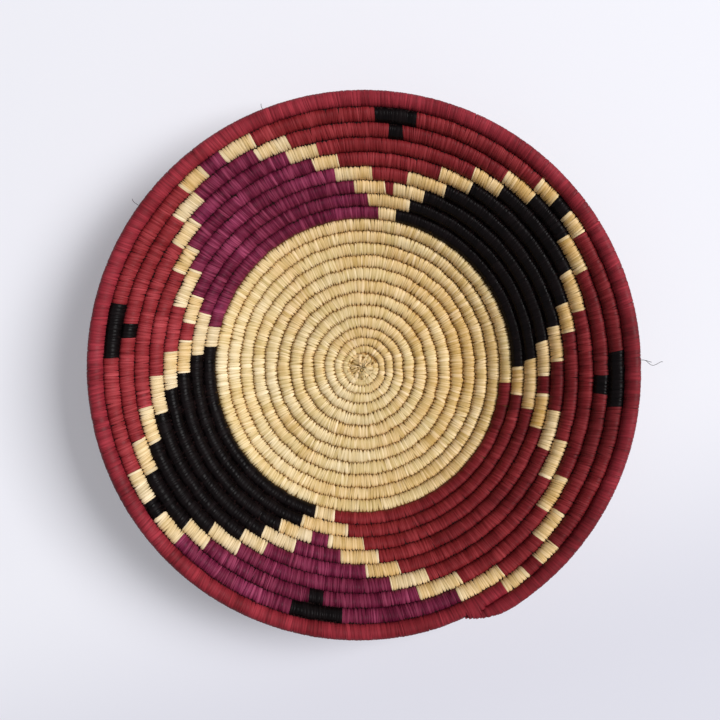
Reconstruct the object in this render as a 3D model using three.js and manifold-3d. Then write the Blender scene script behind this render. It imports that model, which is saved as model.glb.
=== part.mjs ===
// A shallow coiled basket, in millimetres, +Z up, standing on z = 0 with the middle of its box on
// the Z axis. One long bundle of grass winds clockwise, seen from above, from the middle of the
// base out to a tail that lies on the rim. Raffia wraps the bundle all along and stitches each row
// to the row inside it, and the changes of raffia make the pattern.
import * as THREE from 'three';
import Module from 'manifold-3d';

// The coil. A row is one turn, and the spacing of its rows is the thickness of the wrapped coil.
const startRadius = 6.5; // middle of the innermost row
const startCoil = 3.7; // thickness beside the start knot
const baseCoil = 7.3; // thickness over the rest of the flat
const growRows = 6; // rows in which it grows to that
const growEase = 1.6;
const flatRows = 8; // rows outside the innermost one that lie flat
const baseRows = 12; // undyed rows outside the innermost one
const bendRows = 5; // rows in which the base bends up into the wall
const footCoil = 7.9; // thickness in the first row of the wall
const wallSlope = 34; // degrees from the floor, at the foot of the wall
const flareRow = 15; // row from which the wall flares out
const rimCoil = 8.5; // thickness in the rim
const rimSlope = 24; // degrees from the floor
const climbAngle = 150; // degrees at the start of each turn in which the coil moves out one row
const climbEase = 1.6;
const flankShare = 0.5; // height of the flat between two rows of the wall, as a share of the coil
const seatShare = 0.55; // width of the flat under the base's rows, as a share of the coil
const seatCut = 0.5; // depth of that flat

// The ends of the coil
const startAngle = 120; // degrees into the innermost turn at which the coil begins
const tailBearing = 292; // where the tail ends on the rim
const tailSpacing = 6.4; // from the rim's row to the tail that lies on it
const tailRows = 2; // rows laid outside the rim for the tail to follow
const taperAngle = 12; // degrees in which the tail thins out
const tipShare = 0.4; // thickness left at its tip, as a share
const freeAngle = 20; // degrees past its tip from which the rim has its full width

// The raffia and what it leaves free
const wrapThickness = 0.9;
const coreClearance = 0.3; // between the raffia and the grass inside it
const rowGap = 0.46; // between two rows that belong to different pieces
const stitchDepth = 0.4; // how far a stitched row is drawn into the next row of its piece
const endGap = 0.3; // along the coil, between one piece and the next

// The start knot, a small coiled button in the middle of the base
const knotHeight = 3.4;
const knotRound = 0.8;
const knotDimple = 1;

// Steps per turn
const outerSteps = 18;
const innerSteps = 9;
const innerRows = 5; // rows that take the fewer steps
const knotSteps = 18;
const ringAngle = 0.4; // degrees that two rings of one wrap keep apart at least
const angleError = 1e-9; // steps, allowed for in finding the step that an angle is in

const dyes = {
  straw: { color: 0xd9b57e, roughness: 0.75 },
  grass: { color: 0xb89a5e, roughness: 0.9 },
  red: { color: 0x8e1f2d, roughness: 0.65 },
  purple: { color: 0x6e1f5e, roughness: 0.65 },
  black: { color: 0x1f1b1e, roughness: 0.55 },
};

const pieces = {
  foundation_coil: dyes.grass,
  start_knot: dyes.straw,
  base_wrap: dyes.straw,
  red_petal: dyes.red,
  left_black_petal: dyes.black,
  purple_petal: dyes.purple,
  right_black_petal: dyes.black,
  bottom_outline: dyes.straw,
  left_outline: dyes.straw,
  top_outline: dyes.straw,
  right_outline: dyes.straw,
  bottom_purple_field: dyes.purple,
  left_red_field: dyes.red,
  top_red_field: dyes.red,
  right_red_field: dyes.red,
  bottom_tee: dyes.black,
  left_tee: dyes.black,
  top_tee: dyes.black,
  right_tee: dyes.black,
  rim_wrap: dyes.red,
};

// The weaver's chart: for each row of the wall, the bearings at which the raffia changes, in the
// order of the work. Bearings are degrees anticlockwise from +X, so they fall along the coil, and
// below zero they are in the next turn.
const sides = [
  { petal: 'red_petal', line: 'bottom_outline', field: 'bottom_purple_field', tee: 'bottom_tee' },
  { petal: 'left_black_petal', line: 'left_outline', field: 'left_red_field', tee: 'left_tee' },
  { petal: 'purple_petal', line: 'top_outline', field: 'top_red_field', tee: 'top_tee' },
  { petal: 'right_black_petal', line: 'right_outline', field: 'right_red_field', tee: 'right_tee' },
];

// One list for each side of a row: the petal's start, the outline's start and, where the row has
// them, the field's start, the black T's start and end, and the start of the next outline.
const chart = [
  [[353.5, 259], [251.5, 172.5], [165, 84.5], [78, 0]],
  [[349.5, 264.5], [248, 176], [161.5, 88.5], [74, 2.5]],
  [[345.5, 270, 258.5, 253], [242, 182, 171.5, 166], [157, 93, 83, 80.5], [70.5, 8, -3, -8.5]],
  [[340.5, 274.5, 263, 249], [238.5, 186.5, 175.5, 162], [150, 98.5, 87.5, 77], [65, 12, 1.5, -13]],
  [[335.5, 280, 270.5, 241.5], [234, 193, 182.5, 153], [145, 104, 97, 68.5], [59, 17.5, 9.5, -20.5]],
  [[328.5, 287, 277, 235.5], [226.5, 200, 190.5, 147], [139, 110, 102, 60.5], [52, 25, 14.5, -29]],
  [
    [321.5, 294.5, 283.5, 260, 256.5, 228.5],
    [221.5, 206.5, 198, 173, 169.5, 141.5],
    [134, 117, 108.5, 84, 80.5, 53.5],
    [45, 33, 23.5, -2, -6.5, -36.5],
  ],
  [
    [315.5, 304, 292.5, 265, 253, 223],
    [216, 212, 204.5, 178, 165.5, 135.5],
    [129, 124, 116, 87.5, 78, 46.5],
    [41, 37, 31.5, 3.5, -9, -43],
  ],
];
const petalTip = [312, 308.5, 302.5]; // in the rim's row: the red petal, its outline and the rim

const wallRows = chart.length + 1;
const lastRow = baseRows + wallRows;
const fullTurn = 360;
const bendStart = (flatRows + 1) * fullTurn;
const tailAngle = (lastRow + 2) * fullTurn - tailBearing;
const radians = THREE.MathUtils.degToRad;

// How far the base has bent up into the wall, as a share
function bend(row) {
  return THREE.MathUtils.smoothstep(row, flatRows, flatRows + bendRows);
}

// Spacing from one row to the next row out
function spacing(row) {
  if (row > lastRow) return tailSpacing;
  if (row > baseRows) {
    const up = (row - baseRows - 1) / (wallRows - 1);
    return THREE.MathUtils.lerp(footCoil, rimCoil, up);
  }
  const left = Math.max(0, 1 - Math.max(0, row - 1) / growRows);
  return baseCoil - (baseCoil - startCoil) * left ** growEase + (footCoil - baseCoil) * bend(row);
}

function slope(row) {
  const flare = THREE.MathUtils.clamp((row - flareRow) / (lastRow - flareRow), 0, 1);
  return radians(wallSlope * bend(row) - (wallSlope - rimSlope) * flare);
}

// Each row's middle, as its distance from the axis, its height and half its thickness
function layRows() {
  const rows = [];
  let radius = startRadius;
  let height = 0;
  for (let row = 0; row <= lastRow + tailRows; row += 1) {
    const half = (spacing(row) + spacing(Math.min(row + 1, lastRow))) / 4;
    if (row > 0) radius += spacing(row) * Math.cos(slope(row));
    if (row <= flatRows) height = half - seatCut;
    else height += spacing(row) * Math.sin(slope(row));
    rows.push(new THREE.Vector3(radius, height, half));
  }
  return rows;
}

const rows = layRows();
const inside = new THREE.Vector3(startRadius - startCoil, rows[0].y, rows[0].z);

// The coil's middle after so many degrees of winding: radius, height and half the thickness
function coilAt(angle) {
  const turn = Math.floor(angle / fullTurn);
  const along = Math.min(1, (angle - turn * fullTurn) / climbAngle);
  const climb = 1 - (1 - along) ** climbEase;
  const from = turn > 0 ? rows[turn - 1] : inside;
  const to = turn < 0 ? inside : rows[turn];
  return new THREE.Vector3().lerpVectors(from, to, climb);
}

// A row's flank: the middle between two rows, the way out and the way up along their joint
function flank(inner, outer) {
  const out = new THREE.Vector2(outer.x - inner.x, outer.y - inner.y);
  const half = out.length() / 2;
  out.normalize();
  const up = new THREE.Vector2(-out.y, out.x);
  return { middle: new THREE.Vector2(inner.x, inner.y).addScaledVector(out, half), out, up, half };
}

// How thick the coil is at an angle, as a share: less than 1 only in the tail
function fullness(angle) {
  return THREE.MathUtils.clamp((tailAngle - angle) / taperAngle, tipShare, 1);
}

// The wrapped coil's section as points of radius and height. drawn gives how far its inner and
// outer flanks stand past the joints with their neighbours. The base's coil has a flat underneath,
// and the wall's has a ridge there.
function section(angle, drawn) {
  const thick = fullness(angle);
  const own = coilAt(angle);
  const inner = flank(coilAt(angle - fullTurn), own);
  const outer = flank(own, coilAt(angle + fullTurn));
  const middle = new THREE.Vector2(own.x, own.y);
  if (angle + fullTurn > tailAngle + freeAngle) {
    outer.half = own.z;
    outer.middle.copy(middle).addScaledVector(outer.out, outer.half);
  }
  if (thick < 1) {
    inner.half *= thick;
    outer.half *= thick;
    middle.copy(inner.middle).addScaledVector(inner.out, inner.half);
    outer.middle.copy(middle).addScaledVector(outer.out, outer.half);
  }
  const half = own.z * thick;
  const up = new THREE.Vector2(0, 1);
  if (angle > bendStart) up.addVectors(inner.up, outer.up).normalize();
  const out = new THREE.Vector2(up.y, -up.x);
  const place = (along, lift) =>
    middle.clone().addScaledVector(out, along).addScaledVector(up, lift);
  const side = (at, past, lift) =>
    at.middle.clone().addScaledVector(at.out, past).addScaledVector(at.up, lift);
  const seat = half - seatCut * thick;
  const skin = wrapThickness * thick;
  const offFloor = (point) => point.setY(Math.max(0, point.y));
  const standing = [
    place(0, half),
    side(outer, drawn.outer, 0),
    offFloor(place(half * seatShare, -seat)),
    offFloor(place(-half * seatShare, -seat)),
    side(inner, -drawn.inner, 0),
  ];
  const raised = [
    place(0, half),
    side(outer, drawn.outer, outer.half * flankShare),
    side(outer, drawn.outer, -outer.half * flankShare),
    place(0, -half),
    side(inner, -drawn.inner, -inner.half * flankShare),
    side(inner, -drawn.inner, inner.half * flankShare),
  ];
  const hollow = (less) => [
    place(0, half - less),
    place(outer.half - less, 0),
    place(0, less - seat),
    place(less - inner.half, 0),
  ];
  const wrap = drawn.standing ? standing : raised;
  return { wrap, bore: hollow(skin), core: hollow(skin + coreClearance * Math.SQRT2 * thick) };
}

function stepAt(angle) {
  return fullTurn / (angle < innerRows * fullTurn ? innerSteps : outerSteps);
}

// The section at any angle, in space. Between two steps it lies on the straight run that joins
// them, so that neighbouring rows stay parallel.
function ring(angle, drawn) {
  const step = stepAt(angle);
  const first = Math.floor(angle / step + angleError) * step;
  const from = section(first, drawn);
  const to = section(first + step, drawn);
  const before = Math.sin(radians(angle - first));
  const after = Math.sin(radians(first + step - angle));
  const inSpace = (point, at) => {
    const bearing = -radians(at);
    return new THREE.Vector3(point.x * Math.cos(bearing), point.x * Math.sin(bearing), point.y);
  };
  const join = (key) =>
    from[key].map((point, i) => {
      const end = to[key][i];
      const share = (point.x * before) / (point.x * before + end.x * after);
      return inSpace(point, first).lerp(inSpace(end, first + step), share);
    });
  return { flat: from, wrap: join('wrap'), bore: join('bore'), core: join('core') };
}

// A closed tube through rings of points: its skin, its bore if it has one, and its two ends
function tube(rings, skin, bore) {
  const loops = bore ? [skin, bore] : [skin];
  const points = [];
  const faces = [];
  const starts = loops.map(() => []);
  for (const one of rings) {
    loops.forEach((loop, k) => {
      starts[k].push(points.length);
      points.push(...one[loop]);
    });
  }
  loops.forEach((loop, k) => {
    const count = rings[0][loop].length;
    for (let i = 0; i + 1 < rings.length; i += 1) {
      for (let j = 0; j < count; j += 1) {
        const next = (j + 1) % count;
        const a = starts[k][i] + j;
        const b = starts[k][i] + next;
        const c = starts[k][i + 1] + next;
        const d = starts[k][i + 1] + j;
        faces.push(...(k === 0 ? [a, c, b, a, d, c] : [a, b, c, a, c, d]));
      }
    }
  });
  for (const end of [0, rings.length - 1]) {
    const flat = rings[end].flat;
    const holes = bore ? [flat[bore]] : [];
    const corners = loops.flatMap((loop, k) => rings[end][loop].map((_, j) => starts[k][end] + j));
    for (const [a, b, c] of THREE.ShapeUtils.triangulateShape(flat[skin], holes)) {
      const face = [corners[a], corners[b], corners[c]];
      faces.push(...(end === 0 ? face.reverse() : face));
    }
  }
  const geometry = new THREE.BufferGeometry().setFromPoints(points);
  geometry.setIndex(faces);
  return geometry;
}

const wasm = await Module();
wasm.setup();

function toSolid(geometry) {
  return new wasm.Manifold(
    new wasm.Mesh({
      numProp: 3,
      vertProperties: new Float32Array(geometry.attributes.position.array),
      triVerts: new Uint32Array(geometry.index.array),
    }),
  );
}

function toGeometry(solid) {
  const { vertProperties, triVerts } = solid.getMesh();
  const geometry = new THREE.BufferGeometry();
  geometry.setAttribute('position', new THREE.BufferAttribute(vertProperties, 3));
  geometry.setIndex(new THREE.BufferAttribute(triVerts, 1));
  return geometry;
}

// The stretches of coil that the chart gives to each piece, in the order of the work
function layWraps() {
  const marks = [{ name: 'base_wrap', start: startAngle }];
  chart.forEach((row, i) => {
    const turnEnd = (baseRows + 2 + i) * fullTurn;
    row.forEach((bearings, side) => {
      const { petal, line, field, tee } = sides[side];
      const plain = [petal, line, field, line];
      const order = bearings.length > plain.length ? [petal, line, field, tee, field, line] : plain;
      bearings.forEach((bearing, k) => marks.push({ name: order[k], start: turnEnd - bearing }));
    });
  });
  [sides[0].petal, sides[0].line, 'rim_wrap'].forEach((name, k) => {
    marks.push({ name, start: (lastRow + 1) * fullTurn - petalTip[k] });
  });
  return marks.map((mark, i) => ({ ...mark, end: marks[i + 1]?.start ?? tailAngle }));
}

const wraps = layWraps();

// One unbroken winding each, with no row stitched to itself
const windingPieces = ['base_wrap', 'rim_wrap'];

// Whether all that lies beside a stretch of coil, one row in or out, belongs to the same piece
function besideIsSame(name, start, end, shift) {
  const beside = wraps.filter((w) => w.start < end + shift && w.end > start + shift);
  return beside.length > 0 && beside.every((w) => w.name === name);
}

// The angles at which a wrap needs a ring: its ends, the steps between them and, in the stepped
// outlines, the ends of the wraps that it is stitched to in the next row
function ringAngles(wrap) {
  const trim = (angle) => THREE.MathUtils.radToDeg(endGap / 2 / coilAt(angle).x);
  const start = wrap.start + trim(wrap.start);
  const end = wrap.end - (wrap.end < tailAngle ? trim(wrap.end) : 0);
  const first = Math.ceil(start / stepAt(start)) * stepAt(start);
  const angles = [];
  for (let at = first; at < end; at += stepAt(at)) angles.push(at);
  if (wrap.name.endsWith('outline')) {
    for (const other of wraps.filter((w) => w.name === wrap.name)) {
      angles.push(other.start - fullTurn, other.end - fullTurn);
    }
  }
  const kept = [start];
  for (const at of angles.sort((a, b) => a - b)) {
    if (at > kept.at(-1) + ringAngle && at < end - ringAngle) kept.push(at);
  }
  return [...kept, end];
}

// Rings along one wrap. A flank is drawn into its neighbour where both belong to one piece, and
// keeps clear of it elsewhere.
function wrapRings(wrap) {
  const angles = ringAngles(wrap);
  const stitched = (i, shift) => {
    if (windingPieces.includes(wrap.name)) return false;
    const start = angles[Math.max(0, i - 1)];
    const end = angles[Math.min(angles.length - 1, i + 1)];
    return besideIsSame(wrap.name, start, end, shift);
  };
  const standing = wrap.name === 'base_wrap';
  const past = (i, shift) => (stitched(i, shift) ? stitchDepth : -rowGap / 2);
  return angles.map((at, i) => {
    const drawn = { inner: past(i, -fullTurn), outer: past(i, fullTurn), standing };
    return ring(at, drawn);
  });
}

function foundationCoil() {
  const plain = { inner: 0, outer: 0 };
  const angles = [];
  for (let at = startAngle; at < tailAngle; at += stepAt(at)) angles.push(at);
  const rings = [...angles, tailAngle].map((at) => ring(at, plain));
  reportGap('foundation coil', rings.map((one) => one.core));
  return tube(rings, 'core');
}

// Measures the least gap from the points of each ring to those about one turn further on
function reportGap(name, loops) {
  let least = Infinity;
  loops.forEach((loop, i) => {
    const beside = loops.slice(i + innerSteps - 1, i + outerSteps + 2).flat();
    for (const point of loop) {
      for (const other of beside) least = Math.min(least, point.distanceTo(other));
    }
  });
  console.log(`${name}: least gap to itself ${least.toFixed(2)} mm`);
}

function windingWrap(name) {
  const wrap = wraps.find((w) => w.name === name);
  const rings = wrapRings(wrap);
  reportGap(name, rings.map((one) => one.wrap));
  return tube(rings, 'wrap', 'bore');
}

function stitchedWrap(name) {
  const parts = wraps.filter((w) => w.name === name);
  const solids = parts.map((wrap) => toSolid(tube(wrapRings(wrap), 'wrap', 'bore')));
  return toGeometry(solids.reduce((sum, one) => sum.add(one)));
}

function startKnot() {
  const reach = startRadius - startCoil / 2 - rowGap;
  const profile = [
    [0, 0],
    [reach - knotRound, 0],
    [reach, knotRound],
    [reach, knotHeight - knotRound],
    [reach - knotRound, knotHeight],
    [knotDimple, knotHeight],
    [0, knotHeight - knotDimple],
  ].map(([x, y]) => new THREE.Vector2(x, y));
  return new THREE.LatheGeometry(profile, knotSteps).rotateX(Math.PI / 2);
}

function shapeOf(name) {
  if (name === 'foundation_coil') return foundationCoil();
  if (name === 'start_knot') return startKnot();
  return windingPieces.includes(name) ? windingWrap(name) : stitchedWrap(name);
}

const basket = new THREE.Group();
for (const [name, dye] of Object.entries(pieces)) {
  const material = new THREE.MeshStandardMaterial({ ...dye, metalness: 0 });
  const mesh = new THREE.Mesh(shapeOf(name), material);
  mesh.name = name;
  basket.add(mesh);
}
const middle = new THREE.Box3().setFromObject(basket).getCenter(new THREE.Vector3());
basket.position.set(-middle.x, -middle.y, 0);

export default new THREE.Group().add(basket);
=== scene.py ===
import math
import random

import bpy
import numpy as np
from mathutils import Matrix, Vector


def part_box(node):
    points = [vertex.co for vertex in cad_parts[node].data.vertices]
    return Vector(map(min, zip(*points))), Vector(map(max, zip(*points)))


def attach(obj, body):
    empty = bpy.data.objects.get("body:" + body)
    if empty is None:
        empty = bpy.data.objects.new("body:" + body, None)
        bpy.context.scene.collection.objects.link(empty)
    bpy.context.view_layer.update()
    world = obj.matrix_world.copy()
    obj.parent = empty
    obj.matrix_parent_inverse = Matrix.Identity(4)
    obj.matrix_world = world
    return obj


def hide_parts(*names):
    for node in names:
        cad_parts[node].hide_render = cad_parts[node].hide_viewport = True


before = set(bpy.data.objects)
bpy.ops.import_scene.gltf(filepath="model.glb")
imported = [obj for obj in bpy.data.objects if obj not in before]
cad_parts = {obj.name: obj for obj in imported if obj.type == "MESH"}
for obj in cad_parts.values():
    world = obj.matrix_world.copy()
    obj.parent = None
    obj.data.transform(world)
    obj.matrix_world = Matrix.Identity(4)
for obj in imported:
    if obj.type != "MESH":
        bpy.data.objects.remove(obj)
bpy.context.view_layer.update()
print("frame loaded")

# the coil: one bundle of grass wound clockwise, seen from above (metres, degrees of winding)
coil = {
    "startRadius": 0.0065,
    "startThick": 0.0037,
    "startHigh": 1.1,
    "startLeast": 0.4,
    "startAngle": 345,
    "baseThick": 0.0073,
    "growRows": 6,
    "growEase": 1.6,
    "flatRows": 8,
    "baseRows": 12,
    "bendRows": 5,
    "leanAngle": 120,
    "seatCut": 0.0005,
    "footThick": 0.0079,
    "wallRows": 9,
    "wallSlope": 34,
    "flareRow": 15,
    "rimThick": 0.0085,
    "rimSlope": 24,
    "climbAngle": 150,
    "climbEase": 1.6,
    "tailBearing": 292,
    "tailRows": 2,
    "tailStep": 0.0064,
    "taperAngle": 10,
    "tipShare": 0.08,
    "freeAngle": 8,
    "bindAngle": 4.5,
    "bindEase": 2,
    "boundHigh": 0.8,
    "lengthSteps": 34000,
}
lastRow = coil["baseRows"] + coil["wallRows"]
bendStart = (coil["flatRows"] + 1) * 360
tailAngle = (lastRow + 2) * 360 - coil["tailBearing"]  # in the turn after the rim's

knotLow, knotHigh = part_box("start_knot")
axisX, axisY = (knotLow.x + knotHigh.x) / 2, (knotLow.y + knotHigh.y) / 2


def ease(share):  # from 0 to 1, gently at both ends
    return share * share * (3 - 2 * share)


def bendShare(row):  # how far the base has bent up into the wall
    return ease(min(1, max(0, (row - coil["flatRows"]) / coil["bendRows"])))


def rowStep(row):  # from one row's middle to the next
    if row > lastRow:
        return coil["tailStep"]
    if row > coil["baseRows"]:
        up = (row - coil["baseRows"] - 1) / (coil["wallRows"] - 1)
        return coil["footThick"] + (coil["rimThick"] - coil["footThick"]) * up
    left = max(0, 1 - max(0, row - 1) / coil["growRows"])
    grown = coil["baseThick"] - (coil["baseThick"] - coil["startThick"]) * left ** coil["growEase"]
    return grown + (coil["footThick"] - coil["baseThick"]) * bendShare(row)


def rowSlope(row):
    flare = min(1, max(0, (row - coil["flareRow"]) / (lastRow - coil["flareRow"])))
    return math.radians(coil["wallSlope"] * bendShare(row) - (coil["wallSlope"] - coil["rimSlope"]) * flare)


def layRows():  # each row's radius, height and half thickness, after two rows for what lies inside the first
    rows, radius, height = [], coil["startRadius"], 0
    for row in range(lastRow + coil["tailRows"] + 1):
        half = (rowStep(row) + rowStep(min(row + 1, lastRow))) / 4
        if row > 0:
            radius += rowStep(row) * math.cos(rowSlope(row))
        if row <= coil["flatRows"]:
            height = half - coil["seatCut"]
        else:
            height += rowStep(row) * math.sin(rowSlope(row))
        rows.append((radius, height, half))
    inside = (coil["startRadius"] - coil["startThick"], rows[0][1], rows[0][2])
    return np.array([inside, inside] + rows)


rowTable = layRows()
firstHalf = rowTable[2, 2]


def coilAt(angle):  # radius, height and half thickness along the winding
    turn = np.floor(angle / 360).astype(int)
    along = np.minimum(1, (angle - turn * 360) / coil["climbAngle"])
    climb = (1 - (1 - along) ** coil["climbEase"])[:, None]
    return rowTable[turn + 1] * (1 - climb) + rowTable[turn + 2] * climb


# length along the coil for every part of a degree, and back
windings = np.linspace(-360, tailAngle, coil["lengthSteps"])
lengths = np.concatenate([[0], np.cumsum(np.radians(np.diff(windings)) * coilAt(windings)[1:, 0])])


def lengthAt(angle):
    return np.interp(angle, windings, lengths)


def angleAt(length):
    return np.interp(length, lengths, windings)


# hand work: the joints of the rows, the height of the coil and the lean of the raffia wander a little
wander = {"seed": 11, "waves": (0.0095, 0.0147, 0.0236, 0.0413, 0.071), "cycle": 6.283, "base": 0.00016,
          "wall": 0.00006, "settle": 1400, "freeCalm": 0.8, "height": 0.00008, "leanMost": 3}
waveSeed = random.Random(wander["seed"])
wavePhases = {
    what: [waveSeed.uniform(0, wander["cycle"]) for _ in wander["waves"]]
    for what in ("joint", "height", "lean")}


def waver(length, what):
    total = np.zeros_like(length)
    for wave, phase in zip(wander["waves"], wavePhases[what]):
        total += np.sin(length * wander["cycle"] / wave + phase)
    return total


def jointWander(angle):  # of the joint outside the coil at this winding
    settled = [bendStart, bendStart + wander["settle"]]
    return waver(lengthAt(angle), "joint") * np.interp(angle, settled, [wander["base"], wander["wall"]])


def tailThick(angle):  # the tail thins to its tip
    left = np.clip((tailAngle - angle) / coil["taperAngle"], 0, 1)
    return coil["tipShare"] + (1 - coil["tipShare"]) * left * (2 - left)


def sectionAt(angle):  # middle, outward and upward directions, half widths in and out, half height
    own, inner, outer = coilAt(angle), coilAt(angle - 360), coilAt(angle + 360)
    inWay = own[:, :2] - inner[:, :2]
    outWay = outer[:, :2] - own[:, :2]
    inHalf = np.linalg.norm(inWay, axis=1) / 2
    outHalf = np.linalg.norm(outWay, axis=1) / 2
    inWay /= inHalf[:, None] * 2
    outWay /= outHalf[:, None] * 2
    level = np.array([[1.0, 0.0]])
    lean = ease(np.clip((angle - bendStart + coil["leanAngle"] / 2) / coil["leanAngle"], 0, 1))[:, None]
    out = level * (1 - lean) + (inWay + outWay) / 2 * lean
    out /= np.linalg.norm(out, axis=1)[:, None]
    up = np.stack([-out[:, 1], out[:, 0]], 1)

    thick = tailThick(angle)
    middle = own[:, :2] - inWay * (inHalf * (1 - thick))[:, None]
    # the last stitches go round the tail and the row inside it together
    outside = angle + 360
    bound = np.clip((outside + coil["bindAngle"] - tailAngle) / coil["bindEase"], 0, 1)
    bound = bound * (outside < tailAngle) * tailThick(outside) * (outHalf + outer[:, 2])
    free = np.clip((outside - tailAngle) / coil["freeAngle"], 0, 1)  # nothing lies outside it
    outHalf = outHalf * (1 - free) + own[:, 2] * free
    outHalf = outHalf + jointWander(angle) * (1 - wander["freeCalm"] * free) + bound
    inHalf = inHalf - jointWander(angle - 360)
    half = own[:, 2] + waver(lengthAt(angle), "height") * wander["height"]
    half = half * np.clip(inHalf / firstHalf * coil["startHigh"], coil["startLeast"], 1)  # the start is thin
    half = half * np.where(angle + coil["bindAngle"] > tailAngle, coil["boundHigh"], 1)
    return middle, out, up, inHalf * thick, outHalf * thick, half * thick


# the weaver's chart, row by row: bearings at which the raffia changes, for each side the petal,
# its outline and, where the row has them, the field, the black T, the field again, the next outline
sides = [
    {"petal": "red_petal", "line": "bottom_outline", "field": "bottom_purple_field", "tee": "bottom_tee"},
    {"petal": "left_black_petal", "line": "left_outline", "field": "left_red_field", "tee": "left_tee"},
    {"petal": "purple_petal", "line": "top_outline", "field": "top_red_field", "tee": "top_tee"},
    {"petal": "right_black_petal", "line": "right_outline", "field": "right_red_field", "tee": "right_tee"},
]
chart = [
    [[353.5, 259], [251.5, 172.5], [165, 84.5], [78, 0]],
    [[349.5, 264.5], [248, 176], [161.5, 88.5], [74, 2.5]],
    [[345.5, 270, 258.5, 253], [242, 182, 171.5, 166], [157, 93, 83, 80.5], [70.5, 8, -3, -8.5]],
    [[340.5, 274.5, 263, 249], [238.5, 186.5, 175.5, 162], [150, 98.5, 87.5, 77], [65, 12, 1.5, -13]],
    [[335.5, 280, 270.5, 241.5], [234, 193, 182.5, 153], [145, 104, 97, 68.5], [59, 17.5, 9.5, -20.5]],
    [[328.5, 287, 277, 235.5], [226.5, 200, 190.5, 147], [139, 110, 102, 60.5], [52, 25, 14.5, -29]],
    [
        [321.5, 294.5, 283.5, 260, 256.5, 228.5],
        [221.5, 206.5, 198, 173, 169.5, 141.5],
        [134, 117, 108.5, 84, 80.5, 53.5],
        [45, 33, 23.5, -2, -6.5, -36.5],
    ],
    [
        [315.5, 304, 292.5, 265, 253, 223],
        [216, 212, 204.5, 178, 165.5, 135.5],
        [129, 124, 116, 87.5, 78, 46.5],
        [41, 37, 31.5, 3.5, -9, -43],
    ],
]
petalTip = {"red_petal": 312, "bottom_outline": 308.5, "rim_wrap": 302.5}  # in the rim's row


def readChart():  # node name, start and end of each stretch of coil
    marks = [("base_wrap", coil["startAngle"])]
    for i, row in enumerate(chart):
        turnEnd = (coil["baseRows"] + 2 + i) * 360
        for side, bearings in zip(sides, row):
            order = ["petal", "line", "field", "tee", "field", "line"]
            if len(bearings) < len(order):
                order = ["petal", "line", "field", "line"]
            for key, bearing in zip(order, bearings):
                marks.append((side[key], turnEnd - bearing))
    for name, bearing in petalTip.items():
        marks.append((name, (lastRow + 1) * 360 - bearing))
    ends = [start for _, start in marks[1:]] + [tailAngle]
    return [(name, start, end) for (name, start), end in zip(marks, ends)]


stretches = readChart()
print("chart read:", len(stretches), "stretches of raffia")


def clearSelection():
    if bpy.context.object and bpy.context.object.mode != "OBJECT":
        bpy.ops.object.mode_set(mode="OBJECT")
    bpy.ops.object.select_all(action="DESELECT")


def pickVertices(piece, test):  # in edit mode afterwards, only these selected
    bpy.ops.object.mode_set(mode="EDIT")
    bpy.ops.mesh.select_mode(type="VERT")
    bpy.ops.mesh.select_all(action="DESELECT")
    bpy.ops.object.mode_set(mode="OBJECT")
    for vertex in piece.data.vertices:
        vertex.select = test(vertex.co)
    bpy.ops.object.mode_set(mode="EDIT")


# one turn of raffia round the coil: x outwards, y up, z along the coil, all from -1 to 1
turnKinds = {
    "base": {"sides": 16, "edge": 0.06, "inner": 0.6, "outer": 0.72},
    "line": {"sides": 16, "edge": 0.06, "inner": 0.66, "outer": 0.74},
    "dyed": {"sides": 16, "edge": 0.055, "inner": 0.86, "outer": 0.97},
    "rim": {"sides": 16, "edge": 0.034, "inner": 0.86, "outer": 1},
    "knot": {"sides": 24, "edge": 0.06, "inner": 1, "outer": 1},
}
turnParts = {"edgeFrom": 0.9, "flankFrom": 0.8, "flankHigh": 0.45}  # where its edges and flanks begin


def modelTurn(name, kind):
    clearSelection()
    bpy.ops.mesh.primitive_cylinder_add(
        vertices=kind["sides"], radius=1, depth=2, end_fill_type="NOTHING", location=(0, 0, 0))
    turn = bpy.context.object
    turn.name = name
    # a ring of points along the middle of the strip
    bpy.ops.object.mode_set(mode="EDIT")
    bpy.ops.mesh.select_mode(type="EDGE")
    bpy.ops.mesh.select_all(action="DESELECT")
    bpy.ops.object.mode_set(mode="OBJECT")
    points = turn.data.vertices
    for edge in turn.data.edges:
        a, b = (points[i].co for i in edge.vertices)
        edge.select = abs(a.z - b.z) > 1
    bpy.ops.object.mode_set(mode="EDIT")
    bpy.ops.mesh.subdivide(number_cuts=1)
    # the strip's edges lie lower
    low = 1 - kind["edge"]
    pickVertices(turn, lambda co: abs(co.z) > turnParts["edgeFrom"])
    bpy.ops.transform.resize(value=(low, low, 1), center_override=(0, 0, 0))
    # drawn together where it goes through the row inside, and where the next row goes through it
    for way, narrow in ((-1, kind["inner"]), (1, kind["outer"])):
        pickVertices(
            turn, lambda co: co.x * way > turnParts["flankFrom"] and abs(co.y) < turnParts["flankHigh"])
        bpy.ops.transform.resize(value=(1, 1, narrow), center_override=(0, 0, 0))
    bpy.ops.object.mode_set(mode="OBJECT")
    return turn


def readTurn(turn):  # points, faces and a place for each face corner on the strip laid flat
    data = turn.data
    points = np.array([v.co for v in data.vertices])
    faces = np.array([p.vertices for p in data.polygons])
    flat = []
    for face in faces:
        around = np.degrees(np.arctan2(points[face, 1], points[face, 0])) % 360
        if around.max() - around.min() > 180:
            around[around < 180] += 360
        flat.append(np.stack([(points[face, 2] + 1) / 2, around / 360], 1))
    return {"points": points, "faces": faces, "flat": np.array(flat)}


turnShapes = {}
for kindName, kind in turnKinds.items():
    turn = modelTurn(kindName + "Turn", kind)
    turnShapes[kindName] = readTurn(turn)
    bpy.data.objects.remove(turn)
print("turns of raffia modelled")


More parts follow.
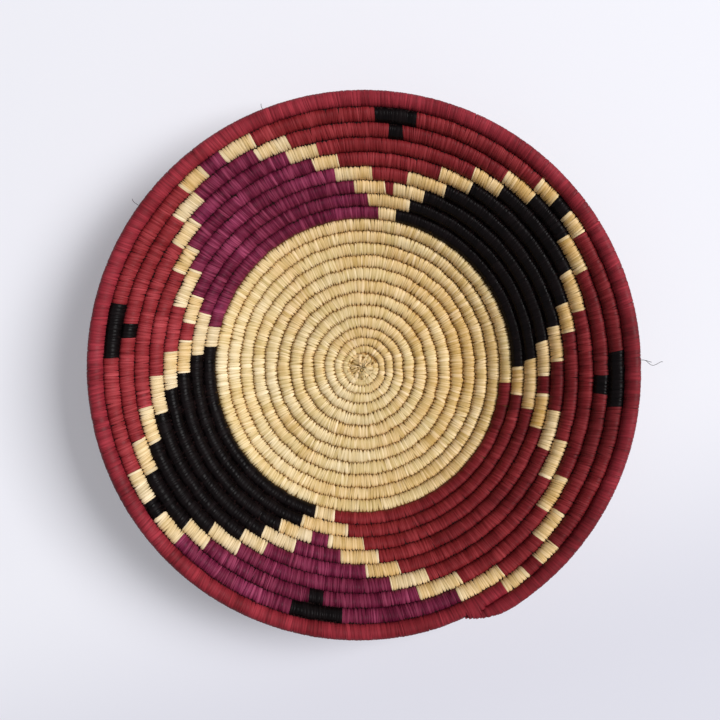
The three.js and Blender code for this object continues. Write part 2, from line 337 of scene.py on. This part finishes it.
def storeFloats(data, name, values, kind="FLOAT"):
    attribute = data.attributes.new(name, kind, "POINT")
    key = "value" if kind == "FLOAT" else "vector"
    attribute.data.foreach_set(key, np.ascontiguousarray(values, np.float32).ravel())


def signedPower(value, power):
    return np.sign(value) * np.abs(value) ** power


def pickShades(count, look, seed):  # a strand lasts for some turns, and its shade runs into the next
    run, shade, left = [], 0, 0
    for _ in range(count):
        if left == 0:
            shade, left = seed.uniform(), seed.integers(*look["strand"])
        run.append(shade)
        left -= 1
    run = np.array([run[0]] * 2 + run + [run[-1]] * 2)
    run = (run[:-4] + run[1:-3] + run[2:-2] + run[3:-1] + run[4:]) / 5
    if look["paleEnds"]:
        run[0] = run[-1] = 1
    return run


def spaceTurns(runs, look, seed):  # each turn's middle and half width along the coil, and its shade
    middles, widths, shades = [], [], []
    for start, end in runs:
        first, last = look["lengthAt"](np.array([start, end]))
        count = max(1, round((last - first) / look["pitch"]))
        marks = np.concatenate([[0], np.cumsum(1 + look["uneven"] * seed.uniform(-1, 1, count))])
        marks = first + (last - first) * marks / marks[-1]
        middles.append((marks[1:] + marks[:-1]) / 2)
        widths.append((marks[1:] - marks[:-1]) / 2)
        shades.append(pickShades(count, look, seed))
    middles, widths, shades = np.concatenate(middles), np.concatenate(widths), np.concatenate(shades)
    angle = look["angleAt"](middles)
    strands = 0.5 + (shades - 0.5) * look["spread"]
    strands = strands + look["paintedLight"] * np.cos(np.radians(angle + look["paintedLightTo"]))  # painted light: paler towards one bearing and darker opposite, as the light falls
    return {"middle": middles, "half": widths, "angle": angle, "strand": strands}


# where a turn is stitched into the row inside, how fibres lie in it, and the sheet for painting it
strip = {"stitchFrom": 0.8, "stitchOver": 0.2, "jointNarrow": 12, "fibresAcross": 1000, "fibresShift": 500,
         "fibresAlong": 4, "fibresLayer": 50, "sheetWide": 2.6, "sheetMargin": 0.06}


def placeTurns(points, around, laid, look, seed, sections):  # every point of every turn
    count = len(laid["angle"])
    middle, out, up, inHalf, outHalf, half = sections(laid["angle"])
    proud = np.hypot(points[:, 0], points[:, 1])[None, :]
    lift = 1 + look["rough"] * seed.normal(0, 1, count)[:, None]
    x = signedPower(np.cos(around), 2 / look["square"])
    y = signedPower(np.sin(around), 2 / look["square"])
    through = np.clip(-np.cos(around) - strip["stitchFrom"], 0, 1) / strip["stitchOver"] * look["through"]
    x = x * np.where(x > 0, outHalf[:, None], inHalf[:, None]) * proud * lift - through
    y = y * half[:, None] * proud * lift
    radius = middle[:, :1] + x * out[:, :1] + y * up[:, :1]
    height = np.maximum(middle[:, 1:] + x * out[:, 1:] + y * up[:, 1:], 0)
    lean = look["lean"] + look["leanVary"] * waver(laid["middle"], "lean") / wander["leanMost"]
    lean = np.tan(np.radians(lean + seed.normal(0, look["leanEach"], count)))[:, None]
    apart = seed.uniform(0, 1, count) < look["openShare"]  # a few turns leave gaps
    covers = look["cover"] - look["open"] * apart
    along = points[None, :, 2] * (laid["half"] * covers)[:, None] - lean * np.minimum(x, half[:, None])
    bearing = -np.radians(laid["angle"])[:, None] - along / middle[:, :1]
    return np.stack([axisX + radius * np.cos(bearing), axisY + radius * np.sin(bearing), height], 2)


def storeLooks(data, points, around, laid, seed):  # what the materials read
    count, size = len(laid["angle"]), len(points)
    across = points[:, 2]
    storeFloats(data, "strand", np.repeat(laid["strand"], size))
    storeFloats(data, "tone", np.repeat(seed.uniform(0, 1, count), size))
    storeFloats(data, "joint", np.tile(np.cos(around[0]) ** strip["jointNarrow"], count))
    storeFloats(data, "brink", np.tile(np.abs(across), count))
    shift = seed.uniform(0, strip["fibresShift"], count)[:, None]
    layer = seed.uniform(0, strip["fibresLayer"], count)[:, None]
    lie = np.stack([
        across[None, :] * laid["half"][:, None] * strip["fibresAcross"] + shift,
        np.broadcast_to(np.abs(around) * strip["fibresAlong"], (count, size)),
        np.broadcast_to(layer, (count, size))], 2)
    storeFloats(data, "lie", lie, "FLOAT_VECTOR")


def laySheet(data, flat, count):  # the strips side by side on a sheet, for painting
    columns = max(1, math.ceil(math.sqrt(count * strip["sheetWide"])))
    lines = math.ceil(count / columns)
    cell = np.stack([np.arange(count) % columns, np.arange(count) // columns], 1)[:, None, None, :]
    filled = 1 - 2 * strip["sheetMargin"]
    spots = (cell + strip["sheetMargin"] + filled * flat[None]) / np.array([columns, lines])
    sheet = data.uv_layers.new(name="OFBake")
    sheet.data.foreach_set("uv", np.ascontiguousarray(spots, np.float32).ravel())


# lays turns of raffia one after another along the coil and makes them one piece
def wrapCoil(name, turn, runs, look, sections=sectionAt):
    seed = np.random.default_rng(look["seed"])
    laid = spaceTurns(runs, look, seed)
    points = turn["points"]
    around = np.arctan2(points[:, 1], points[:, 0])[None, :]
    around = around + look["gather"] * np.cos(around)  # more points on top
    place = placeTurns(points, around, laid, look, seed, sections)
    count, size = len(laid["angle"]), len(points)
    faces = (turn["faces"][None] + np.arange(count)[:, None, None] * size).reshape(-1, 4)
    data = bpy.data.meshes.new(name)
    data.from_pydata(place.reshape(-1, 3), [], faces)
    data.shade_smooth()
    storeLooks(data, points, around, laid, seed)
    laySheet(data, turn["flat"], count)
    data.validate()
    piece = bpy.data.objects.new(name, data)
    bpy.context.collection.objects.link(piece)
    return piece


def dye(red, green, blue):  # as seen on a screen, 0 to 255
    parts = [c / 255 for c in (red, green, blue)]
    return [c / 12.92 if c <= 0.04045 else ((c + 0.055) / 1.055) ** 2.4 for c in parts] + [1]


def addNode(tree, kind, x, y, **settings):
    node = tree.nodes.new(kind)
    node.location = (x, y)
    for key, value in settings.items():
        setattr(node, key, value)
    return node


def feed(tree, value, socket):  # another node's output, or a constant
    if isinstance(value, bpy.types.NodeSocket):
        tree.links.new(value, socket)
    else:
        socket.default_value = value


def readAttribute(tree, name, x, y, output="Fac"):
    return addNode(tree, "ShaderNodeAttribute", x, y, attribute_name=name).outputs[output]


def addMath(tree, operation, x, y, *values, **settings):
    node = addNode(tree, "ShaderNodeMath", x, y, operation=operation, **settings)
    for value, socket in zip(values, node.inputs):
        feed(tree, value, socket)
    return node.outputs["Value"]


def addRange(tree, x, y, value, low, high, start=0, end=1, **settings):  # low at start, high at end
    node = addNode(tree, "ShaderNodeMapRange", x, y, **settings)
    feed(tree, value, node.inputs["Value"])
    for key, number in {"From Min": start, "From Max": end, "To Min": low, "To Max": high}.items():
        node.inputs[key].default_value = number
    return node.outputs["Result"]


def addMix(tree, x, y, share, first, second, **settings):
    node = addNode(tree, "ShaderNodeMix", x, y, data_type="RGBA", **settings)
    for value, number in ((share, 0), (first, 6), (second, 7)):  # the sockets for colours
        feed(tree, value, node.inputs[number])
    return node.outputs[2]


def addRamp(tree, x, y, value, shades):  # evenly from the first shade to the last
    node = addNode(tree, "ShaderNodeValToRGB", x, y)
    elements = node.color_ramp.elements
    while len(elements) < len(shades):
        elements.new(0.5)
    for i, shade in enumerate(shades):
        elements[i].position = i / (len(shades) - 1)
        elements[i].color = dye(*shade)
    feed(tree, value, node.inputs["Fac"])
    return node.outputs["Color"]


def addNoise(tree, x, y, place, **sockets):
    node = addNode(tree, "ShaderNodeTexNoise", x, y)
    feed(tree, place, node.inputs["Vector"])
    for key, number in sockets.items():
        node.inputs[key].default_value = number
    return node.outputs["Fac"]


# raffia: each strand has its own shade, each turn differs a little, and fibres run along it; shade is painted
# into the joints between rows and at each turn's edges
raffiaMake = {
    "detail": 3, "mottleRange": (0.25, 0.75), "fibreLong": 0.05, "fibreRough": 0.6, "streakRange": (0.3, 0.7),
    "paintedJointShadeFrom": 0.2, "paintedEdgeShadeFrom": 0.5, "dullMost": 0.6, "reliefDeep": 0.0002,
}


def strandShade(tree, look):
    where = addNode(tree, "ShaderNodeTexCoord", -1800, 450)
    mottle = addNoise(
        tree, -1600, 450, where.outputs["Object"], Scale=look["mottleScale"], Detail=raffiaMake["detail"])
    spread = addRange(tree, -1400, 450, mottle, -look["mottle"], look["mottle"], *raffiaMake["mottleRange"])
    strand = readAttribute(tree, "strand", -1200, 300)
    pick = addMath(tree, "ADD", -1050, 400, strand, spread)
    return addRamp(tree, -900, 300, pick, look["shades"])


def fibreNoise(tree, look):
    run = addNode(tree, "ShaderNodeMapping", -1300, -200)
    run.inputs["Scale"].default_value = (look["fibres"], look["fibres"] * raffiaMake["fibreLong"], 1)
    feed(tree, readAttribute(tree, "lie", -1500, -200, "Vector"), run.inputs["Vector"])
    return addNoise(tree, -1100, -200, run.outputs["Vector"], Scale=1, Detail=raffiaMake["detail"],
                    Roughness=raffiaMake["fibreRough"])


def raffiaColour(tree, look, fibres, tone):
    streak = addRange(
        tree, -900, -150, fibres, 1 - look["streak"], 1 + look["streak"], *raffiaMake["streakRange"])
    toneRange = addRange(tree, -900, 60, tone, 1 - look["tone"], 1 + look["tone"])
    brink = readAttribute(tree, "brink", -1200, -700)  # near the strip's edges, where painted shade falls between one turn and the next
    paintedEdgeShade = addRange(tree, -900, -700, brink, 1, 1 - look["paintedEdgeShade"], raffiaMake["paintedEdgeShadeFrom"],
                      interpolation_type="SMOOTHSTEP")
    toneAndEdgeShade = addMath(tree, "MULTIPLY", -700, -50, paintedEdgeShade, toneRange)
    value = addMath(tree, "MULTIPLY", -500, 0, streak, toneAndEdgeShade)
    # darker fibres, and the painted shade at the strip's edges, are richer in colour
    rich = addMath(tree, "MULTIPLY_ADD", -500, -150, value, -look["rich"], 1 + look["rich"])
    shaded = addNode(tree, "ShaderNodeHueSaturation", -300, 200)
    feed(tree, value, shaded.inputs["Value"])
    feed(tree, rich, shaded.inputs["Saturation"])
    feed(tree, strandShade(tree, look), shaded.inputs["Color"])
    # painted shade in the joints between the rows, multiplied into the colour
    joint = readAttribute(tree, "joint", -1200, -450)
    paintedJointShade = addRange(tree, -900, -450, joint, 0, 1, raffiaMake["paintedJointShadeFrom"])
    return addMix(tree, 100, 200, paintedJointShade, shaded.outputs["Color"], dye(*look["paintedJointShade"]), blend_type="MULTIPLY")


def makeRaffia(name, look):
    material = bpy.data.materials.new(name)
    material.use_nodes = True
    tree = material.node_tree
    shader = tree.nodes["Principled BSDF"]
    shader.inputs["Specular IOR Level"].default_value = look["specular"]
    fibres = fibreNoise(tree, look)
    tone = readAttribute(tree, "tone", -1200, 60)
    feed(tree, raffiaColour(tree, look, fibres, tone), shader.inputs["Base Color"])

    dull = addMath(tree, "MULTIPLY", -200, -150, fibres, tone)
    smooth, rough = look["roughness"] - look["glossVary"], look["roughness"] + look["glossVary"]
    gloss = addRange(tree, 0, -150, dull, smooth, rough, 0, raffiaMake["dullMost"])
    feed(tree, gloss, shader.inputs["Roughness"])
    bump = addNode(tree, "ShaderNodeBump", 300, -350)
    bump.inputs["Strength"].default_value = look["relief"]
    bump.inputs["Distance"].default_value = raffiaMake["reliefDeep"]
    feed(tree, fibres, bump.inputs["Height"])
    feed(tree, bump.outputs["Normal"], shader.inputs["Normal"])
    return material


raffiaLooks = {
    "straw": {
        "shades": [
            (207, 171, 113), (218, 186, 130), (224, 193, 140),
            (223, 197, 144), (226, 202, 154), (229, 208, 166)],
        "paintedJointShade": (206, 162, 98), "mottle": 0.17, "mottleScale": 90,
        "tone": 0.1, "streak": 0.22, "paintedEdgeShade": 0.13, "rich": 0.7, "fibres": 1.2,
        "roughness": 0.5, "glossVary": 0.1, "specular": 0.15, "relief": 0.35},
    "line": {
        "shades": [(210, 169, 105), (220, 185, 129), (224, 196, 147), (226, 204, 165)],
        "paintedJointShade": (222, 200, 160), "mottle": 0.2, "mottleScale": 90,
        "tone": 0.1, "streak": 0.22, "paintedEdgeShade": 0.16, "rich": 0.5, "fibres": 1.2,
        "roughness": 0.5, "glossVary": 0.1, "specular": 0.15, "relief": 0.35},
    "red": {
        "shades": [(91, 18, 22), (111, 26, 31), (127, 35, 39), (141, 43, 48), (160, 55, 61)],
        "paintedJointShade": (214, 208, 208), "mottle": 0.12, "mottleScale": 70,
        "tone": 0.17, "streak": 0.4, "paintedEdgeShade": 0.16, "rich": 0.1, "fibres": 1.2,
        "roughness": 0.62, "glossVary": 0.12, "specular": 0.14, "relief": 0.35},
    "purple": {
        "shades": [(80, 16, 40), (97, 25, 50), (109, 32, 58), (124, 41, 71), (146, 54, 90)],
        "paintedJointShade": (214, 208, 208), "mottle": 0.16, "mottleScale": 45,
        "tone": 0.34, "streak": 0.54, "paintedEdgeShade": 0.3, "rich": 0.1, "fibres": 1.2,
        "roughness": 0.55, "glossVary": 0.12, "specular": 0.11, "relief": 0.35},
    "black": {
        "shades": [(8, 5, 6), (14, 9, 10), (11, 7, 8)],
        "paintedJointShade": (214, 208, 208), "mottle": 0.3, "mottleScale": 70,
        "tone": 0.3, "streak": 0.4, "paintedEdgeShade": 0, "rich": 0, "fibres": 1.0,
        "roughness": 0.4, "glossVary": 0.14, "specular": 0.05, "relief": 0.6},
}
raffiaLooks["rim"] = dict(
    raffiaLooks["red"], paintedEdgeShade=0.08, rich=0.03,
    shades=[(91, 17, 24), (111, 25, 33), (129, 34, 44), (144, 42, 53), (162, 54, 66)])
raffia = {key: makeRaffia(key + "Raffia", look) for key, look in raffiaLooks.items()}
print("raffia dyed")


def finishPiece(piece, node, material):  # trim replaces no node
    piece.data.materials.append(material)
    if node:
        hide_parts(node)
    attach(piece, "root")
    print(piece.name, len(piece.data.polygons), "faces")


# the wraps: how the raffia is wound, with painted light towards one bearing, and which dye each piece has
wrapLooks = {
    "base": {
        "pitch": 0.0017, "uneven": 0.6, "strand": (6, 20), "rough": 0.013, "square": 2.45, "through": 0.0008,
        "lean": 2, "leanVary": 5, "leanEach": 3, "cover": 1.05, "open": 0.12, "openShare": 0.12,
        "gather": 0.2, "paleEnds": False, "spread": 0.55, "paintedLight": 0.2, "paintedLightTo": 200},
    "line": {
        "pitch": 0.0016, "uneven": 0.55, "strand": (4, 15), "rough": 0.013, "square": 2.4, "through": 0.0008,
        "lean": 6, "leanVary": 5, "leanEach": 2.2, "cover": 1.05, "open": 0.07, "openShare": 0.1,
        "gather": 0, "paleEnds": True, "spread": 0.65, "paintedLight": 0.22, "paintedLightTo": 195},
    "dyed": {
        "pitch": 0.0016, "uneven": 0.6, "strand": (3, 10), "rough": 0.009, "square": 2.3, "through": 0.0006,
        "lean": 6, "leanVary": 5, "leanEach": 2.5, "cover": 1.05, "open": 0.04, "openShare": 0.04,
        "gather": 0, "paleEnds": False, "spread": 0.45, "paintedLight": 0, "paintedLightTo": 0},
}
dyeLooks = {  # painted light: towards a bearing the strands are paler, darker opposite; the rim is wrapped more evenly
    "red": {"paintedLight": 0.24, "paintedLightTo": 180},
    "rim": {"paintedLight": 0.14, "paintedLightTo": 140, "openShare": 0, "leanEach": 1.2},
    "purple": {"paintedLight": 0.13, "paintedLightTo": 175},
}
dyeOf = {"base_wrap": "straw", "rim_wrap": "rim"}
for side, petal, field in zip(sides, ("red", "black", "purple", "black"), ("purple", "red", "red", "red")):
    dyeOf.update({side["petal"]: petal, side["line"]: "line", side["field"]: field, side["tee"]: "black"})
firstSeed = 100

for number, (node, key) in enumerate(dyeOf.items()):
    runs = [(start, end) for name, start, end in stretches if name == node]
    lookName = {"straw": "base", "line": "line"}.get(key, "dyed")
    look = dict(wrapLooks[lookName], seed=firstSeed + number, lengthAt=lengthAt, angleAt=angleAt)
    look.update(dyeLooks.get(key, {}))
    shape = turnShapes["rim" if key == "rim" else lookName]
    piece = wrapCoil(node + "_raffia", shape, runs, look)
    finishPiece(piece, node, raffia[key])

# the start: the first ring of grass, wrapped over its own middle to a crumpled button
knot = {
    "radius": 0.0038, "outHalf": 0.0052, "half": 0.0016, "height": 0.0016,
    "slit": 0.0002, "slitLong": 0.001, "slitBearing": 50, "shift": (-0.0014, -0.001, 0),
    "crumple": 0.0011, "crumpleFrom": 0.0012, "crumpleAll": 0.3, "crumpleOut": 0.7, "crumpleSeed": 3,
    "dentRadius": 0.0066, "dentHalf": 0.0005, "dentDeep": 0.0008,
}


def knotSection(angle):
    ones = np.ones(len(angle))
    flat = np.stack([ones, 0 * ones], 1)
    along = np.cos(np.radians(angle + knot["slitBearing"])) ** 2
    hole = knot["slit"] * (1 - along) + knot["slitLong"] * along
    return (np.stack([knot["radius"] * ones, knot["height"] * ones], 1), flat, flat[:, ::-1],
            knot["radius"] - hole, knot["outHalf"] * ones, knot["half"] * ones)


def inDent(co):  # a ring of stitches holds the knot down
    return abs(math.hypot(co.x - axisX, co.y - axisY) - knot["dentRadius"]) < knot["dentHalf"]


knotLook = dict(
    wrapLooks["base"], seed=7, pitch=0.0009, square=3.2, through=0, strand=(2, 5), rough=0.04, leanEach=8,
    cover=1.3, openShare=0, paintedLight=0, lengthAt=lambda angle: np.radians(angle) * knot["radius"],
    angleAt=lambda length: np.degrees(length / knot["radius"]))
piece = wrapCoil("start_knot_raffia", turnShapes["knot"], [(0, 360)], knotLook, knotSection)
clearSelection()
piece.select_set(True)
bpy.context.view_layer.objects.active = piece
pickVertices(piece, lambda co: co.z > knot["crumpleFrom"])
bpy.ops.transform.vertex_random(
    offset=knot["crumple"], uniform=knot["crumpleAll"], normal=knot["crumpleOut"], seed=knot["crumpleSeed"])
pickVertices(piece, lambda co: co.z > knot["crumpleFrom"] and inDent(co))
bpy.ops.transform.translate(value=(0, 0, -knot["dentDeep"]))
bpy.ops.object.mode_set(mode="OBJECT")
bpy.ops.transform.translate(value=knot["shift"])
bpy.ops.object.transform_apply(location=True)
finishPiece(piece, "start_knot", raffia["straw"])

# the grass inside, which shows only between the stitches
grass = {
    "sides": 12, "step": 4, "start": 330, "wide": 1.03, "freeWide": 0.9, "high": 0.86, "lowest": 0.0003,
    "padSides": 24, "padRadius": 0.0088, "padLift": 0.0003, "padHigh": 0.0018,
    "padRound": 0.3, "padSmooth": 0.6,
    "bare": [(110, 78, 32), (170, 128, 64)], "paintedWallShade": [(16, 6, 6), (44, 18, 17)],
    "undyed": 0.084, "dyed": 0.09, "stemScale": 700, "roughness": 0.85, "specular": 0.2,
}


def layGrass():
    angle = np.append(np.arange(grass["start"], tailAngle, grass["step"]), tailAngle)
    middle, out, up, inHalf, outHalf, half = sectionAt(angle)
    around = np.arange(grass["sides"]) * 2 * math.pi / grass["sides"]
    x = np.cos(around)[None, :]
    free = angle + 360 + coil["bindAngle"] + grass["step"] > tailAngle
    outHalf = np.where(free, np.minimum(outHalf, half) * grass["freeWide"], outHalf * grass["wide"])
    x = x * np.where(x > 0, outHalf[:, None], inHalf[:, None] * grass["wide"])
    y = np.sin(around)[None, :] * half[:, None] * grass["high"]
    radius = middle[:, :1] + x * out[:, :1] + y * up[:, :1]
    height = np.maximum(middle[:, 1:] + x * out[:, 1:] + y * up[:, 1:], grass["lowest"])
    bearing = -np.radians(angle)[:, None]
    place = np.stack([axisX + radius * np.cos(bearing), axisY + radius * np.sin(bearing), height], 2)
    count, sidesOf = len(angle), grass["sides"]
    first = (np.arange(count - 1)[:, None] * sidesOf + np.arange(sidesOf)[None, :]).ravel()
    beside = (np.arange(count - 1)[:, None] * sidesOf + (np.arange(sidesOf)[None, :] + 1) % sidesOf).ravel()
    faces = np.stack([first, beside, beside + sidesOf, first + sidesOf], 1).tolist()
    faces.append(list(range(sidesOf))[::-1])
    faces.append(list(range((count - 1) * sidesOf, count * sidesOf)))
    data = bpy.data.meshes.new("grass_coil")
    data.from_pydata(place.reshape(-1, 3).tolist(), [], faces)
    data.shade_smooth()
    piece = bpy.data.objects.new("grass_coil", data)
    bpy.context.collection.objects.link(piece)
    # the stems' ends, tied into a pad in the middle
    clearSelection()
    bpy.ops.mesh.primitive_cylinder_add(
        vertices=grass["padSides"], radius=grass["padRadius"], depth=grass["padHigh"],
        location=(axisX, axisY, grass["padLift"] + grass["padHigh"] / 2))
    bpy.ops.object.transform_apply(location=True, rotation=True, scale=True)
    bpy.ops.object.mode_set(mode="EDIT")
    bpy.ops.mesh.select_all(action="SELECT")
    bpy.ops.mesh.bevel(offset=grass["padHigh"] * grass["padRound"], segments=2, affect="EDGES")
    bpy.ops.object.mode_set(mode="OBJECT")
    bpy.ops.object.shade_smooth_by_angle(angle=grass["padSmooth"])
    piece.select_set(True)
    bpy.context.view_layer.objects.active = piece
    bpy.ops.object.join()
    return piece


def makeGrass():
    material = bpy.data.materials.new("dryGrass")
    material.use_nodes = True
    tree = material.node_tree
    shader = tree.nodes["Principled BSDF"]
    shader.inputs["Roughness"].default_value = grass["roughness"]
    shader.inputs["Specular IOR Level"].default_value = grass["specular"]
    where = addNode(tree, "ShaderNodeTexCoord", -1100, 0)
    stems = addNoise(tree, -900, 0, where.outputs["Object"], Scale=grass["stemScale"])
    bare = addRamp(tree, -650, 0, stems, grass["bare"])
    paintedWallShade = addRamp(tree, -650, -250, stems, grass["paintedWallShade"])
    # painted shade: the grass of the wall is near black with a red tinge, as dyed raffia looks in the shaded
    # gaps between stitches
    away = addNode(tree, "ShaderNodeVectorMath", -900, 250, operation="LENGTH")
    feed(tree, where.outputs["Object"], away.inputs[0])
    region = addRange(tree, -650, 250, away.outputs["Value"], 0, 1, grass["undyed"], grass["dyed"])
    feed(tree, addMix(tree, -300, 0, region, bare, paintedWallShade), shader.inputs["Base Color"])
    return material


finishPiece(layGrass(), "foundation_coil", makeGrass())

# fibres that have come loose at the rim: bearing, and metres out from and above its edge
fibres = {
    "thick": 0.00013,
    "curls": [
        [(1.35, -0.0015, 0), (1.6, 0.0014, 0.0004), (1.2, 0.0028, 0.001), (0.6, 0.0039, 0.0014),
         (0.3, 0.0055, 0.0016), (0.3, 0.0066, 0.0018), (0.7, 0.0088, 0.002), (1.15, 0.0107, 0.0015),
         (0.95, 0.0115, 0.001)],
        [(1.35, -0.0015, 0), (1.55, 0.0012, 0.0004), (1.4, 0.0026, 0.0006), (1.05, 0.0042, 0.0006),
         (0.95, 0.0055, 0.0004)],
        [(111.4, -0.0015, 0), (111.4, 0.0004, 0), (111.6, 0.0012, 0.0003), (111.5, 0.002, 0.0006),
         (111.3, 0.0027, 0.0008)],
        [(144.3, -0.0015, 0), (144.3, 0.0005, 0), (144.4, 0.002, 0.0005), (144.5, 0.0033, 0.001),
         (144, 0.0046, 0.0012)],
    ],
}


def offRim(bearing, away, lift):
    middle, out, _, _, outHalf, _ = sectionAt(np.array([tailAngle - (tailAngle + bearing) % 360]))
    radius, height = middle[0] + out[0] * outHalf[0]
    turned = math.radians(bearing)
    x, y = axisX + (radius + away) * math.cos(turned), axisY + (radius + away) * math.sin(turned)
    return x, y, height + lift


strays = []
for curl in fibres["curls"]:
    clearSelection()
    bpy.ops.curve.primitive_nurbs_path_add(location=(0, 0, 0))
    stray = bpy.context.object
    spline = stray.data.splines[0]
    spline.points.add(len(curl) - len(spline.points))
    for point, spot in zip(spline.points, curl):
        point.co = (*offRim(*spot), 1)
    spline.use_endpoint_u = True
    stray.data.bevel_depth = fibres["thick"]
    stray.data.bevel_resolution = 1
    stray.data.use_fill_caps = True
    bpy.ops.object.convert(target="MESH")
    strays.append(bpy.context.object)
for stray in strays:
    stray.select_set(True)
bpy.ops.object.join()
piece = bpy.context.object
piece.name = "rim_loose_fibres"
finishPiece(piece, None, raffia["black"])

# stage: pale floor, window light from the right, camera straight above
stage = {
    "floor": (241, 241, 248), "floorSize": 8, "floorDrop": 0.0002, "floorRough": 0.9, "floorSpecular": 0.1,
    "near": (221, 221, 231), "nearWay": (-0.3, 1, 0), "nearFrom": -0.22, "nearTo": -0.06, "glow": 0.27,
    "key": 394, "keySize": 2.9, "keyFar": 6, "keyTurn": 13, "keyRise": 48.5,
    "fill": 0.25, "backdrop": 0.82, "sky": (0.97, 0.97, 1, 1),
}


def seenRays(tree, x, y):  # 1 for what the eye sees, straight, in a gloss or through glass
    rays = addNode(tree, "ShaderNodeLightPath", x, y).outputs
    seen = addMath(tree, "ADD", x + 200, y, rays["Is Camera Ray"], rays["Is Glossy Ray"], use_clamp=True)
    return addMath(tree, "ADD", x + 400, y, seen, rays["Is Transmission Ray"], use_clamp=True)


def makePaper():
    material = bpy.data.materials.new("paleFloor")
    material.use_nodes = True
    tree = material.node_tree
    shader = tree.nodes["Principled BSDF"]
    shader.inputs["Roughness"].default_value = stage["floorRough"]
    shader.inputs["Specular IOR Level"].default_value = stage["floorSpecular"]
    # painted shade: it darkens a little towards the front, as the light falls off
    where = addNode(tree, "ShaderNodeTexCoord", -1200, -100)
    forward = addNode(tree, "ShaderNodeVectorMath", -1000, -100, operation="DOT_PRODUCT")
    feed(tree, where.outputs["Object"], forward.inputs[0])
    feed(tree, stage["nearWay"], forward.inputs[1])
    toFront = addRange(tree, -800, -100, forward.outputs["Value"], 0, 1, stage["nearFrom"], stage["nearTo"],
                       interpolation_type="SMOOTHSTEP")
    tint = addMix(tree, -500, -100, toFront, dye(*stage["near"]), dye(*stage["floor"]))
    feed(tree, tint, shader.inputs["Base Color"])
    # the shadow stays pale to the eye
    glow = addNode(tree, "ShaderNodeEmission", 0, -400)
    feed(tree, tint, glow.inputs["Color"])
    share = addMath(tree, "MULTIPLY", 0, 400, seenRays(tree, -600, 400), stage["glow"])
    mixed = addNode(tree, "ShaderNodeMixShader", 350, 200)
    feed(tree, share, mixed.inputs["Fac"])
    feed(tree, shader.outputs["BSDF"], mixed.inputs[1])
    feed(tree, glow.outputs["Emission"], mixed.inputs[2])
    feed(tree, mixed.outputs["Shader"], tree.nodes["Material Output"].inputs["Surface"])
    return material


clearSelection()
bpy.ops.mesh.primitive_plane_add(size=stage["floorSize"], location=(0, 0, -stage["floorDrop"]))
floor = bpy.context.object
floor.name = "floor"
floor.data.materials.append(makePaper())

rise, turned = math.radians(stage["keyRise"]), math.radians(stage["keyTurn"])
toKey = Vector((math.cos(rise) * math.cos(turned), math.cos(rise) * math.sin(turned), math.sin(rise)))
bpy.ops.object.light_add(type="AREA", location=toKey * stage["keyFar"])
lamp = bpy.context.object
lamp.data.energy = stage["key"]
lamp.data.size = stage["keySize"]
lamp.rotation_euler = toKey.to_track_quat("Z", "Y").to_euler()

# pale behind the basket, but plain light on it
world = bpy.context.scene.world or bpy.data.worlds.new("studio")
bpy.context.scene.world = world
world.use_nodes = True
sky = world.node_tree.nodes["Background"].inputs
sky["Color"].default_value = stage["sky"]
seen = seenRays(world.node_tree, -900, 0)
bright = addRange(world.node_tree, -300, 0, seen, stage["fill"], stage["backdrop"])
feed(world.node_tree, bright, sky["Strength"])

view = {"high": 0.62, "right": -0.0021, "forward": 0.0038, "lens": 52.3, "sensor": 36}
bpy.ops.object.camera_add(
    location=(axisX + view["right"], axisY + view["forward"], view["high"]), rotation=(0, 0, 0))
camera = bpy.context.object
camera.data.lens = view["lens"]
camera.data.sensor_width = view["sensor"]
bpy.context.scene.camera = camera
bpy.context.scene.view_settings.view_transform = "Standard"
print("stage set")
